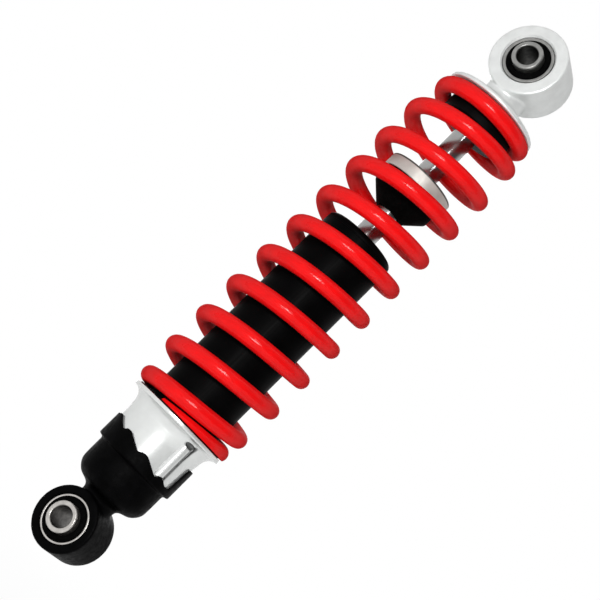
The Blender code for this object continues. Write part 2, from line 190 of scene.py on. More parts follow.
class ShockColours(bpy.types.PropertyGroup):
    """Colours of the finishes"""
    red: tint("Red enamel", "Colour of the spring", (0.90, 0.005, 0.006))
    black: tint("Black paint", "Colour of the bracket and tube", (0.0012, 0.0012, 0.0013))
    rubber: tint("Rubber", "Colour of the bushes and bump stop", (0.0018, 0.0018, 0.0018))
    aluminium: tint("Aluminium", "Colour of the upper casting and collar", (0.79, 0.805, 0.795))
    steel: tint("Steel", "Colour of the lower sleeve and shell", (0.54, 0.52, 0.495))
    dull_steel: tint("Dull steel", "Colour of the upper sleeve and shell", (0.31, 0.31, 0.30))
    chrome: tint("Chrome", "Colour of the rod", (0.38, 0.38, 0.375))
    plate: tint("Plate", "Colour of the bump stop's cup", (0.58, 0.58, 0.54))
    bronze: tint("Bronze", "Colour of the guide bush and piston", (0.55, 0.36, 0.16))


class ShockStage(bpy.types.PropertyGroup):
    """Camera and floor"""
    eye_point: point("Camera", "Place of the camera", (0.329, -0.646, -0.249))
    aim: point("Aim", "Point in the middle of the picture", (-0.0002, -0.0001, -0.155))
    lean: angle("Lean", "How far the shock leans to the right in the picture", 45.3)
    lens: FloatProperty(name="Lens", description="Focal length in millimetres", default=95.1,
                        subtype="DISTANCE_CAMERA")
    floor: length("Floor", "Height of the floor below the upper eye", -380.0)


GROUPS = {
    "shock_eyes": ShockEyes,
    "shock_damper": ShockDamper,
    "shock_spring": ShockSpring,
    "shock_collar": ShockCollar,
    "shock_bracket": ShockBracket,
    "shock_colours": ShockColours,
    "shock_stage": ShockStage,
}


def sizes(context, group):
    """The values of a property group by name, with its lengths in millimetres."""
    settings = getattr(context.scene, group)
    values = {}
    for key in GROUPS[group].__annotations__:
        value = getattr(settings, key)
        is_length = settings.bl_rna.properties[key].unit == "LENGTH"
        values[key] = value / MM if is_length else value
    return SimpleNamespace(**values)


# Shapes

def turned(outline, segments=FINE, axis=SHOCK_AXIS, centre=LOWER_EYE):
    """A body spun from (radius, place along the axis). From axis to axis it is solid, else a ring."""
    shape = bmesh.new()
    corners = [shape.verts.new(centre + Vector((radius * MM, 0.0, 0.0)) + axis * (along * MM))
               for radius, along in outline]
    edges = [shape.edges.new(pair) for pair in zip(corners, corners[1:])]
    if outline[0][0] > 0.0:
        edges.append(shape.edges.new((corners[-1], corners[0])))
    bmesh.ops.spin(shape, geom=corners + edges, cent=centre, axis=axis, angle=ROUND,
                   steps=segments, use_merge=True)
    bmesh.ops.remove_doubles(shape, verts=shape.verts, dist=MERGE)
    bmesh.ops.recalc_face_normals(shape, faces=shape.faces)
    return shape


def across(outline, eye, segments=FINE):
    """A body spun about an eye's bolt axis."""
    return turned(outline, segments, BOLT_AXIS, eye)


def mirrored(half_outline):
    """A closed ring outline from its half on the positive side of an eye."""
    return half_outline + [(radius, -along) for radius, along in reversed(half_outline)]


def eye_barrel(radius, half):
    """Outline of an eye's solid barrel."""
    return [(0.0, -half), (radius, -half), (radius, half), (0.0, half)]


def eye_bore(radius, half, lead):
    """Outline that cuts an eye's bore, with a lead at each end."""
    past, lip = half + 4.0, half - 0.1
    return mirrored([(0.0, past), (radius + lead, past), (radius + lead, lip), (radius, lip - lead)])


def arc(start, end, steps=8):
    """Points on a quarter ellipse that leaves start along the axis and comes into end across it."""
    points = []
    for index in range(steps + 1):
        turn = math.pi / 2.0 * index / steps
        points.append((start[0] + (end[0] - start[0]) * (1.0 - math.cos(turn)),
                       start[1] + (end[1] - start[1]) * math.sin(turn)))
    return points


def soften(shape, width, segments=3, sharper_than=30.0):
    """Rounds every edge that is sharper than an angle."""
    limit = math.radians(sharper_than)
    edges = [edge for edge in shape.edges if edge.is_manifold and edge.calc_face_angle() > limit]
    bmesh.ops.bevel(shape, geom=edges, offset=width * MM, offset_type="OFFSET", affect="EDGES",
                    segments=segments, profile=0.5, material=-1, clamp_overlap=True)
    return shape


def new_object(shape, name="scratch"):
    """An object made of a shape, by default a passing one that a modifier works on."""
    mesh = bpy.data.meshes.new(name)
    shape.to_mesh(mesh)
    shape.free()
    made = bpy.data.objects.new(name, mesh)
    bpy.context.scene.collection.objects.link(made)
    return made


def take_shape(made, *others):
    """The shape that an object's modifiers leave. The object and its helpers are removed."""
    bpy.context.view_layer.update()
    graph = bpy.context.evaluated_depsgraph_get()
    mesh = bpy.data.meshes.new_from_object(made.evaluated_get(graph))
    shape = bmesh.new()
    shape.from_mesh(mesh)
    bpy.data.meshes.remove(mesh)
    for used in (made, *others):
        data = used.data
        bpy.data.objects.remove(used)
        if isinstance(data, bpy.types.Mesh):
            bpy.data.meshes.remove(data)
        else:
            bpy.data.curves.remove(data)
    return shape


def combined(shape, tool, operation):
    """Two closed shapes joined, or the second cut from the first."""
    base = new_object(shape)
    other = new_object(tool)
    modifier = base.modifiers.new("combine", "BOOLEAN")
    modifier.operation = operation
    modifier.solver = "EXACT"
    modifier.object = other
    joined = take_shape(base, other)
    bmesh.ops.remove_doubles(joined, verts=joined.verts, dist=0.5 * MERGE)
    return joined


def melted(shape, grain):
    """The same body in even cells, so that its joints can be smoothed like a casting's."""
    lump = new_object(shape)
    modifier = lump.modifiers.new("melt", "REMESH")
    modifier.mode = "VOXEL"
    modifier.voxel_size = grain * MM
    return take_shape(lump)


def smooth(shape, rounds, below=math.inf):
    """Evens out the cells below a height."""
    verts = [vert for vert in shape.verts if (vert.co.z - LOWER_EYE.z) / MM <= below]
    for _ in range(rounds):
        bmesh.ops.smooth_vert(shape, verts=verts, factor=0.5,
                              use_axis_x=True, use_axis_y=True, use_axis_z=True)


def make_piece(shape, name, finish, slot, body, *nodes):
    """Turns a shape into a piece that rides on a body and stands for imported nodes."""
    piece = new_object(shape, name)
    piece.data.shade_smooth()
    piece.data.set_sharp_from_angle(angle=math.radians(CREASE_DEG))
    piece.data.materials.append(get_finish(finish))
    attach(piece, body)
    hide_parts(*nodes)
    return piece


def even_shading(piece):
    """Keeps broad faces flat beside their rounded edges."""
    modifier = piece.modifiers.new("even_shading", "WEIGHTED_NORMAL")
    modifier.keep_sharp = True
    return piece


# Finishes

def start_finish(name, metallic, specular=0.5):
    material = bpy.data.materials.new(name)
    material.use_nodes = True
    tree = material.node_tree
    shader = tree.nodes["Principled BSDF"]
    shader.inputs["Metallic"].default_value = metallic
    shader.inputs["Specular IOR Level"].default_value = specular
    return material, tree, shader


def fed(tree, kind, *sources):
    """A new shader node of a kind, with its first inputs linked."""
    node = tree.nodes.new("ShaderNode" + kind)
    for source, place in zip(sources, node.inputs):
        tree.links.new(source, place)
    return node


def object_places(tree, centre=(0.0, 0.0, 0.0), stretch=(1.0, 1.0, 1.0)):
    """Object coordinates about a centre, stretched along the axes."""
    mapping = fed(tree, "Mapping", fed(tree, "TexCoord").outputs["Object"])
    mapping.inputs["Location"].default_value = [-place * side for place, side in zip(centre, stretch)]
    mapping.inputs["Scale"].default_value = stretch
    return mapping.outputs["Vector"]


def grains(tree, places, size, detail=3.0):
    """Noise with grains of a size in millimetres."""
    noise = fed(tree, "TexNoise", places)
    noise.inputs["Scale"].default_value = 1.0 / (size * MM)
    noise.inputs["Detail"].default_value = detail
    return noise.outputs["Fac"]


def turning_marks(tree, distance, pitch):
    """Uneven lines a pitch apart, in millimetres, along a distance in metres."""
    noise = fed(tree, "TexNoise")
    noise.noise_dimensions = "1D"
    noise.inputs["Scale"].default_value = 1.0 / (pitch * MM)
    noise.inputs["Detail"].default_value = 2.0
    tree.links.new(distance, noise.inputs["W"])
    return noise.outputs["Fac"]


def height_along(tree, places):
    return fed(tree, "SeparateXYZ", places).outputs["Z"]


def distance_out(tree, places):
    """Distance from the middle of places whose axis has been flattened out."""
    node = fed(tree, "VectorMath", places)
    node.operation = "LENGTH"
    return node.outputs["Value"]


def graded(tree, factor, low, high, start=NOISE_LOW, end=NOISE_HIGH):
    """A factor spread from low to high."""
    node = fed(tree, "MapRange", factor)
    for key, value in (("From Min", start), ("From Max", end), ("To Min", low), ("To Max", high)):
        node.inputs[key].default_value = value
    return node.outputs["Result"]


def shaded_tint(tree, factor, colour, dark, light):
    """A colour that runs from dark to light times itself."""
    ramp = fed(tree, "ValToRGB", factor)
    for element, place, share in zip(ramp.color_ramp.elements, (NOISE_LOW, NOISE_HIGH), (dark, light)):
        element.position = place
        element.color = (*(min(1.0, part * share) for part in colour), 1.0)
    return ramp.outputs["Color"]


def blended(tree, factor, first, second):
    """Two colours, the second where the factor is 1."""
    return fed(tree, "MixRGB", factor, first, second).outputs["Color"]


def mixed(tree, factor, first, second):
    """Two shaders, the second where the factor is 1."""
    return fed(tree, "MixShader", factor, first, second).outputs["Shader"]


def worked_out(tree, operation, first, second):
    """Two factors added, multiplied or compared."""
    node = fed(tree, "Math", first, second)
    node.operation = operation
    return node.outputs["Value"]


def nearest(tree, centres, stretch):
    """Distance to the nearer of two centres, with the axes stretched."""
    first, second = (distance_out(tree, object_places(tree, centre, stretch)) for centre in centres)
    return worked_out(tree, "MINIMUM", first, second)


def relief(tree, shader, *layers):
    """Bumps one over another, each a height and its depth in millimetres."""
    normal = None
    for height, bump_depth in layers:
        bump = fed(tree, "Bump")
        bump.inputs["Strength"].default_value = 1.0
        bump.inputs["Distance"].default_value = bump_depth * MM
        tree.links.new(height, bump.inputs["Height"])
        if normal:
            tree.links.new(normal, bump.inputs["Normal"])
        normal = bump.outputs["Normal"]
    tree.links.new(normal, shader.inputs["Normal"])


def dress(tree, shader, colour, roughness):
    tree.links.new(colour, shader.inputs["Base Color"])
    tree.links.new(roughness, shader.inputs["Roughness"])


def grained_finish(name, colour, metallic, specular, mottle, gloss, *bumps):
    """A finish with one grain all over: mottle and gloss are a size, a least and a most share.

    Bumps are a size, a detail and a depth each.
    """
    material, tree, shader = start_finish(name, metallic, specular)
    places = object_places(tree)
    dress(tree, shader, shaded_tint(tree, grains(tree, places, mottle[0]), colour, *mottle[1:]),
          graded(tree, grains(tree, places, gloss[0]), *gloss[1:]))
    relief(tree, shader, *((grains(tree, places, size, detail), deep) for size, detail, deep in bumps))
    return material


def red_enamel(name, colours):
    """Gloss enamel over a shot-peened wire: peel, faint mottle, and gloss that dulls at a low angle."""
    material, tree, shader = start_finish(name, 0.0, 0.17)
    places = object_places(tree)
    facing = fed(tree, "LayerWeight").outputs["Facing"]
    roughness = worked_out(tree, "ADD", graded(tree, grains(tree, places, 1.6), 0.13, 0.24),
                           graded(tree, facing, 0.0, 0.6, 0.25, 0.75))
    dress(tree, shader, shaded_tint(tree, grains(tree, places, 7.0), colours.red, 0.90, 1.02), roughness)
    relief(tree, shader, (grains(tree, places, 1.3, 2.0), 0.09), (grains(tree, places, 0.5, 2.0), 0.012))
    return material


def black_casting(name, colours):
    """Satin paint over sand-cast grain."""
    return grained_finish(name, colours.black, 0.0, 0.02, (5.0, 0.6, 1.7), (2.2, 0.36, 0.58),
                          (1.1, 4.0, 0.09), (0.3, 2.0, 0.02))


def black_paint(name, colours):
    """Smoother paint on a drawn tube, with faint draw lines along it."""
    material, tree, shader = start_finish(name, 0.0, 0.02)
    places = object_places(tree)
    drawn = object_places(tree, stretch=(1.0, 1.0, 0.04))
    dress(tree, shader, shaded_tint(tree, grains(tree, places, 8.0), colours.black, 0.7, 1.5),
          graded(tree, grains(tree, drawn, 1.2), 0.40, 0.55))
    relief(tree, shader, (grains(tree, places, 0.8, 2.0), 0.02), (grains(tree, drawn, 0.7), 0.01))
    return material


def black_nylon(name, colours):
    """Moulded plastic with a fine spark-eroded texture."""
    return grained_finish(name, colours.black, 0.0, 0.05, (3.0, 0.9, 2.0), (1.0, 0.45, 0.62),
                          (0.4, 3.0, 0.04))


def black_rubber(name, colours):
    """Matt rubber with bloom and a dry skin."""
    return grained_finish(name, colours.rubber, 0.0, 0.02, (2.5, 0.6, 1.7), (0.9, 0.62, 0.85),
                          (1.4, 4.0, 0.10), (0.25, 2.0, 0.03))


def cast_aluminium(name, colours):
    """Satin silver casting."""
    return grained_finish(name, colours.aluminium, 0.3, 0.3, (6.0, 0.93, 1.04), (1.3, 0.30, 0.44),
                          (2.4, 3.0, 0.04), (0.6, 2.0, 0.008))


def turned_aluminium(name, colours):
    """Machined collar: fine lathe lines round it, a satin sheen, and painted shade in the grooves and hollows
    beside its ribs.
    """
    material, tree, shader = start_finish(name, 0.55, 0.3)
    places = object_places(tree)
    lines = turning_marks(tree, height_along(tree, places), 0.12)
    collar = sizes(bpy.context, "shock_collar")
    grooves = [groove_centre(collar, index) for index in range(2)]
    hollows = [hollow_centre(collar, index) for index in range(2)]
    # The grooves and hollows beside the ribs get a painted dark tone that stands in for the shade in them.
    past_groove = graded(tree, nearest(tree, grooves, (1.0, 1.0, 0.0)), 0.0, 1.0, 1.35 * MM, 2.2 * MM)
    past_hollow = graded(tree, nearest(tree, hollows, (1.0, 1.0, 2.0)), 0.0, 1.0, 2.3 * MM, 3.8 * MM)
    past_painted_shade = worked_out(tree, "MINIMUM", past_groove, past_hollow)
    unshaded_tone = shaded_tint(tree, grains(tree, places, 5.0), colours.aluminium, 0.94, 0.99)
    painted_groove_shade = shaded_tint(tree, grains(tree, places, 2.0, 4.0), colours.aluminium, 0.05, 0.22)
    dress(tree, shader, blended(tree, past_painted_shade, painted_groove_shade, unshaded_tone), graded(tree, lines, 0.23, 0.26))
    relief(tree, shader, (lines, 0.0002), (grains(tree, places, 3.0), 0.02))
    return material


def turned_steel(name, colours):
    """Turned steel with its rings across the shock."""
    material, tree, shader = start_finish(name, 1.0)
    places = object_places(tree)
    marks = turning_marks(tree, height_along(tree, places), 0.25)
    dress(tree, shader, shaded_tint(tree, grains(tree, places, 3.0, 5.0), colours.steel, 0.78, 1.12),
          graded(tree, marks, 0.28, 0.46))
    relief(tree, shader, (marks, 0.010), (grains(tree, places, 0.6), 0.008))
    return material


def bush_steel(name, colour, eye):
    """Steel with its rings round an eye's bolt, and brown-black scale inside the bolt bore."""
    material, tree, shader = start_finish(name, 1.0)
    places = object_places(tree)
    out = distance_out(tree, object_places(tree, eye, (1.0, 0.0, 1.0)))
    marks = turning_marks(tree, out, 0.25)
    bare = shaded_tint(tree, grains(tree, places, 3.0, 5.0), colour, 0.80, 1.12)
    scale = shaded_tint(tree, grains(tree, places, 2.0, 4.0), colour, 0.14, 0.34)
    bore = bpy.context.scene.shock_eyes.bolt_bore
    past_bore = graded(tree, out, 0.0, 1.0, bore + 0.1 * MM, bore + 0.5 * MM)
    dress(tree, shader, blended(tree, past_bore, scale, bare), graded(tree, marks, 0.28, 0.46))
    relief(tree, shader, (marks, 0.010), (grains(tree, places, 0.6), 0.008))
    return material


def upper_eye_steel(name, colours):
    return bush_steel(name, colours.dull_steel, UPPER_EYE)


def lower_eye_steel(name, colours):
    return bush_steel(name, colours.steel, LOWER_EYE)


def hard_chrome(name, colours):
    """Ground and polished rod, with hair-fine marks round it."""
    material, tree, shader = start_finish(name, 1.0)
    places = object_places(tree)
    lines = turning_marks(tree, height_along(tree, places), 0.12)
    dress(tree, shader, shaded_tint(tree, grains(tree, places, 9.0), colours.chrome, 0.95, 1.05),
          graded(tree, lines, 0.15, 0.23))
    relief(tree, shader, (lines, 0.0015))
    return material


def zinc_plate(name, colours):
    """Pale plated pressing with drawn streaks and painted shade along its upper edge."""
    material, tree, shader = start_finish(name, 0.5)
    places = object_places(tree)
    drawn = object_places(tree, stretch=(1.0, 1.0, 0.2))
    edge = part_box("bump_stop_cup")[1].z
    unshaded_tone = shaded_tint(tree, grains(tree, places, 6.0, 4.0), colours.plate, 0.90, 1.06)
    painted_edge_shade = shaded_tint(tree, grains(tree, places, 2.0, 4.0), colours.plate, 0.06, 0.22)
    # The band just under the upper edge is painted dark, standing in for shade along the edge.
    at_edge = graded(tree, height_along(tree, places), 0.0, 1.0, edge - 1.1 * MM, edge - 0.7 * MM)
    dress(tree, shader, blended(tree, at_edge, unshaded_tone, painted_edge_shade),
          graded(tree, grains(tree, drawn, 1.0), 0.44, 0.60))
    relief(tree, shader, (grains(tree, drawn, 0.5), 0.010))
    return material


def sintered_bronze(name, colours):
    """Pressed powder with open pores."""
    material, tree, shader = start_finish(name, 1.0)
    places = object_places(tree)
    pores = grains(tree, places, 0.5, 4.0)
    dress(tree, shader, shaded_tint(tree, pores, colours.bronze, 0.7, 1.1),
          graded(tree, pores, 0.34, 0.5))
    relief(tree, shader, (pores, 0.02))
    return material


FINISHES = {finish.__name__: finish for finish in (
    red_enamel, black_casting, black_paint, black_nylon, black_rubber, cast_aluminium, turned_aluminium,
    turned_steel, upper_eye_steel, lower_eye_steel, hard_chrome, zinc_plate, sintered_bronze)}


def get_finish(name):
    """A finish by name, made the first time that it is asked for."""
    full_name = "shock_" + name
    ready = bpy.data.materials.get(full_name)
    return ready or FINISHES[name](full_name, bpy.context.scene.shock_colours)


# The cam, which the bracket carries and the collar's ribs stand on

CAMERA_SIDE_DEG = -63.0
CAM_PITCH_DEG = 36.0
CAM_SEATS = 4
SEAT_RIGHT_DEG = 42.0
GROOVE_BESIDE_DEG = 7.4
GROOVE_PROUD = 0.65
HOLLOW_BELOW_RIM = 5.0
HOLLOW_TOWARD_RIB = 2.6
BELOW_CAM = 8.0


def height_between(points, place):
    """Height at a place on a line through points, and nothing beyond its ends."""
    for (start, low), (end, high) in zip(points, points[1:]):
        if start <= place <= end:
            return low + (high - low) * (place - start) / (end - start)
    return 0.0


def cam_top(right_deg, cam):
    """Height of the cam's edge at an angle to the right of the camera's side."""
    seat_points = ((0.0, -0.35), (3.0, 0.0), (7.0, 0.0), (9.5, -0.35), (14.2, -cam.notch))
    last_seat = (CAM_SEATS - 1) * CAM_PITCH_DEG
    land = cam.lowest + (CAM_SEATS - 1) * cam.step - 0.6
    valley = cam.lowest - cam.notch
    points = [(CAM_PITCH_DEG * seat + along, cam.lowest + cam.step * seat + rise)
              for seat in range(CAM_SEATS) for along, rise in seat_points]
    points += [(last_seat + 18.0, land), (155.0, land), (159.0, valley), (173.0, valley),
               (180.0, cam.lowest - 0.35)]
    stop_points = [(60.5, valley), (65.5, cam.stop - 1.6), (67.0, cam.stop - 0.5), (70.0, cam.stop),
                   (91.0, cam.stop), (93.0, cam.stop - 0.6), (93.5, valley)]
    along = (SEAT_RIGHT_DEG - right_deg) % 180.0
    return max(height_between(points, along), height_between(stop_points, right_deg % 360.0))


def rib_right(collar, index):
    """Angle of a rib to the right of the camera's side, in degrees."""
    return math.degrees(collar.rib_place) + 180.0 * index


def groove_centre(collar, index):
    """Where the groove beside a rib runs, at the height of the lower eye."""
    turn = math.radians(rib_right(collar, index) + GROOVE_BESIDE_DEG + CAMERA_SIDE_DEG)
    return LOWER_EYE + Vector((math.cos(turn), math.sin(turn), 0.0)) * ((collar.skirt + GROOVE_PROUD) * MM)


def hollow_centre(collar, index):
    """Where the cutter was lifted out over a rib's head, under the flare."""
    centre = groove_centre(collar, index)
    toward_rib = Vector((centre.y, -centre.x, 0.0)).normalized() * (HOLLOW_TOWARD_RIB * MM)
    return centre + toward_rib + SHOCK_AXIS * ((span("preload_collar")[1] - HOLLOW_BELOW_RIM) * MM)


def right_of_camera(place):
    """Angle of a point to the right of the camera's side, in degrees."""
    return math.degrees(math.atan2(place.y, place.x)) - CAMERA_SIDE_DEG


# Pieces

class SHOCK_OT_upper_casting(bpy.types.Operator):
    """Bright casting: the upper eye with its neck, and the disc that the spring pushes on"""
    bl_idname = "shock.upper_casting"
    bl_label = "Upper casting"

    def execute(self, context):
        eyes = sizes(context, "shock_eyes")
        damper = sizes(context, "shock_damper")
        foot = span("upper_casting")[0] - 0.2
        neck_top = (UPPER_EYE.z - LOWER_EYE.z) / MM - 6.0
        socket_top = span("damper_rod")[1] + 0.3
        half = depth("upper_bush_shell") / 2.0
        body = [(0.0, socket_top), (damper.slide, socket_top), (damper.slide, foot), (eyes.disc, foot),
                (eyes.disc, foot + 1.9), (eyes.disc - 0.9, foot + 2.5), (13.2, foot + 6.2),
                (11.2, foot + 7.6), (eyes.upper_neck, foot + 9.2), (eyes.upper_neck, neck_top),
                (0.0, neck_top)]
        barrel = across(eye_barrel(eyes.upper_eye, half), UPPER_EYE, 180)
        shape = combined(turned(body, 180), barrel, "UNION")
        shape = melted(shape, context.scene.shock_bracket.grain / MM)
        smooth(shape, 12)
        bore = across(eye_bore(eyes.upper_bore, half, 0.7), UPPER_EYE, 180)
        shape = combined(shape, bore, "DIFFERENCE")
        make_piece(shape, "bright_casting", "cast_aluminium", "cast_aluminium", "upper_end", "upper_casting")
        return {"FINISHED"}


class SHOCK_OT_bushes(bpy.types.Operator):
    """Steel shell, rubber and bolt sleeve in each eye"""
    bl_idname = "shock.bushes"
    bl_label = "Bushes and sleeves"

    def execute(self, context):
        eyes = sizes(context, "shock_eyes")
        self.make_bush("upper", UPPER_EYE, eyes.upper_shell, eyes.upper_rubber, eyes)
        self.make_bush("lower", LOWER_EYE, eyes.lower_shell, eyes.lower_rubber, eyes)
        return {"FINISHED"}

    def make_bush(self, end, eye, shell_radius, rubber_radius, eyes):
        body = end + "_end"
        half = depth(end + "_bush_shell") / 2.0
        inside = rubber_radius + 0.15
        face = half - 0.7
        shell = mirrored([(inside, face), (shell_radius, face)])
        shape = soften(across(shell, eye), 0.25, 2)
        even_shading(make_piece(shape, end + "_shell_ring", end + "_eye_steel", "bare_steel", body,
                                end + "_bush_shell"))
        hold = eyes.sleeve + 0.15
        reach = rubber_radius - hold
        dish = ((0.12, 0.9), (0.3, 1.5), (0.6, 1.8), (0.85, 1.5))
        rubber = mirrored([(hold, half - 0.3), *((hold + share * reach, half - sunk) for share, sunk in dish),
                           (rubber_radius, half - 1.1)])
        shape = soften(across(rubber, eye), 0.3, 2, 50.0)
        make_piece(shape, end + "_rubber", "black_rubber", "rubber", body, end + "_bush_rubber")
        reach = depth(end + "_inner_sleeve") / 2.0
        sleeve = mirrored([(eyes.bolt_bore, reach - 0.5), (eyes.bolt_bore + 0.5, reach),
                           (eyes.sleeve - 0.5, reach), (eyes.sleeve, reach - 0.5)])
        shape = soften(across(sleeve, eye), 0.12, 2)
        even_shading(make_piece(shape, end + "_bolt_sleeve", end + "_eye_steel", "bare_steel",
                                end + "_sleeve", end + "_inner_sleeve"))


class SHOCK_OT_spring_guide(bpy.types.Operator):
    """Black top hat inside the top coils"""
    bl_idname = "shock.spring_guide"
    bl_label = "Spring guide"

    def execute(self, context):
        guide = sizes(context, "shock_damper").guide
        foot, head = span("upper_spring_guide")
        coil_head = span("coil_spring")[1] + 0.1
        rod_hole = 6.6
        hollow = 12.2
        flange = 22.0
        floor = foot + 2.2
        outline = [(rod_hole, foot + 0.6), (9.0, foot), (guide - 1.6, foot), (guide, foot + 1.6),
                   (guide, coil_head + 0.3), (flange, coil_head + 0.3), (flange, head), (hollow, head),
                   (hollow, floor), (rod_hole, floor)]
        shape = soften(turned(outline), 0.25, 2)
        even_shading(make_piece(shape, "spring_guide", "black_nylon", "nylon", "spring_top",
                                "upper_spring_guide"))
        return {"FINISHED"}


class SHOCK_OT_rod_and_stop(bpy.types.Operator):
    """Chromed rod with the rubber bump stop and its plated cup"""
    bl_idname = "shock.rod_and_stop"
    bl_label = "Rod and bump stop"

    def execute(self, context):
        damper = sizes(context, "shock_damper")
        foot, head = span("damper_rod")
        stud = 4.0
        shoulder = 134.0
        rod = [(0.0, foot), (stud - 0.5, foot), (stud, foot + 0.5), (stud, shoulder), (damper.rod, shoulder),
               (damper.rod, head - 0.7), (damper.rod - 0.7, head), (0.0, head)]
        shape = soften(turned(rod, 96), 0.15, 2)
        even_shading(make_piece(shape, "chromed_rod", "hard_chrome", "chrome", "upper_end", "damper_rod"))
        foot, head = span("bump_stop")
        stop = [(damper.slide, foot + 0.5), (7.6, foot), (damper.bump_stop, foot + 8.4),
                (damper.bump_stop, head), (damper.slide, head)]
        shape = soften(turned(stop), 0.65, 4)
        make_piece(shape, "rubber_stop", "black_rubber", "rubber", "bump_carrier", "bump_stop")
        foot, head = span("bump_stop_cup")
        inside = damper.cup - 1.0
        web = head - 2.5
        cup = [(damper.slide, web), (inside, web), (inside, foot), (damper.cup, foot), (damper.cup, head),
               (damper.slide, head)]
        shape = soften(turned(cup), 0.45)
        even_shading(make_piece(shape, "stop_cup", "zinc_plate", "plated_steel", "bump_carrier",
                                "bump_stop_cup"))
        return {"FINISHED"}


class SHOCK_OT_spring(bpy.types.Operator):
    """Red spring, wound right-handed, with closed and ground ends"""
    bl_idname = "shock.spring"
    bl_label = "Spring"

    def execute(self, context):
        coil = sizes(context, "shock_spring")
        foot, head = span("coil_spring")
        coil.foot_height, coil.head_height = foot - 0.6, head + 0.35
        curve = bpy.data.curves.new("scratch", "CURVE")
        curve.dimensions = "3D"
        curve.bevel_depth = coil.wire * MM
        curve.bevel_resolution = 10
        curve.use_fill_caps = True
        steps = round(coil.turns * coil.points)
        spline = curve.splines.new("POLY")
        spline.points.add(steps)
        for index, point in enumerate(spline.points):
            point.co = (*self.wire_place(coil.turns * index / steps, coil), 1.0)
        wire = bpy.data.objects.new("scratch", curve)
        context.scene.collection.objects.link(wire)
        shape = take_shape(wire)
        bmesh.ops.remove_doubles(shape, verts=shape.verts, dist=MERGE)
        self.grind(shape, coil.foot_height, -1.0)
        self.grind(shape, coil.head_height, 1.0)
        bmesh.ops.recalc_face_normals(shape, faces=shape.faces)
        spring = make_piece(shape, "red_spring", "red_enamel", "red_enamel", "spring_seat", "coil_spring")
        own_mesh(spring)
        return {"FINISHED"}

    def wire_place(self, turns, coil):
        """Centre of the wire some turns up from its lower tip, in metres."""
        is_lower = turns < coil.turns / 2.0
        from_end = turns if is_lower else coil.turns - turns
        closed = coil.closed_foot if is_lower else coil.closed_head
        clearance = 0.03
        usable = coil.head_height - coil.foot_height - 2.0 * (coil.wire + clearance)
        pitch = usable / (coil.turns - coil.closed_foot - coil.closed_head - coil.lift)
        if from_end <= closed:
            climbed = 0.0
        elif from_end <= closed + coil.lift:
            climbed = pitch / (2.0 * coil.lift) * (from_end - closed) ** 2
        else:
            climbed = pitch * (from_end - closed - coil.lift / 2.0)
        if from_end < coil.ground:
            climbed -= coil.grind * (1.0 - from_end / coil.ground) ** 2
        edge = coil.wire + clearance + climbed
        height = coil.foot_height + edge if is_lower else coil.head_height - edge
        share = min(1.0, from_end / coil.widen)
        widen = share * share * (3.0 - 2.0 * share)
        end_coil = coil.foot_coil if is_lower else coil.head_coil
        radius = end_coil + (coil.coil - end_coil) * widen
        turn = coil.tip + turns * ROUND
        return LOWER_EYE + Vector((radius * math.cos(turn), radius * math.sin(turn), height)) * MM

    def grind(self, shape, height, side):
        """Cuts an end flat and closes the cut."""
        plane = LOWER_EYE + SHOCK_AXIS * (height * MM)
        cut = bmesh.ops.bisect_plane(shape, geom=shape.verts[:] + shape.edges[:] + shape.faces[:], dist=MERGE,
                                     plane_co=plane, plane_no=SHOCK_AXIS * side, clear_outer=True)
        edges = [item for item in cut["geom_cut"] if isinstance(item, bmesh.types.BMEdge)]
        bmesh.ops.holes_fill(shape, edges=edges, sides=0)


class SHOCK_OT_tube(bpy.types.Operator):
    """Black damper tube with its end cap and the wiper seal round the rod"""
    bl_idname = "shock.tube"
    bl_label = "Tube"

    def execute(self, context):
        damper = sizes(context, "shock_damper")
        foot, head = span("damper_tube")
        spigot, step = 15.5, 38.5
        well, well_foot, well_head = 13.6, 30.0, 42.0
        tube = [(0.0, foot), (spigot - 2.0, foot), (spigot, foot + 2.0), (spigot, step), (damper.tube, step),
                (damper.tube, head), (damper.tube_bore, head), (damper.tube_bore, well_head),
                (well, well_head), (well, well_foot), (0.0, well_foot)]
        shape = soften(turned(tube), 0.2, 2)
        even_shading(make_piece(shape, "outer_tube", "black_paint", "black_paint", "lower_end",
                                "damper_tube"))
        foot, head = span("tube_end_cap")
        seal = 8.6
        plug = damper.tube_bore - 0.3
        joint = span("damper_tube")[1] + 0.05
        shoulder = arc((damper.tube, head - 2.6), (damper.tube - 2.6, head))
        cap = [(seal + 0.15, foot), (plug, foot), (plug, joint), (damper.tube, joint), *shoulder,
               (seal + 1.4, head), (seal + 0.15, head - 0.9)]
        shape = soften(turned(cap), 0.15, 2, 40.0)
        even_shading(make_piece(shape, "tube_cap", "black_paint", "black_paint", "lower_end", "tube_end_cap"))
        foot, head = span("wiper_seal")
        wiper = [(damper.slide, foot), (seal, foot), (seal, head - 1.0), (7.5, head - 1.1), (6.8, head),
                 (damper.slide, head - 0.1)]
        shape = soften(turned(wiper, 96), 0.12, 2)
        make_piece(shape, "wiper_lip", "black_rubber", "rubber", "lower_end", "wiper_seal")
        return {"FINISHED"}


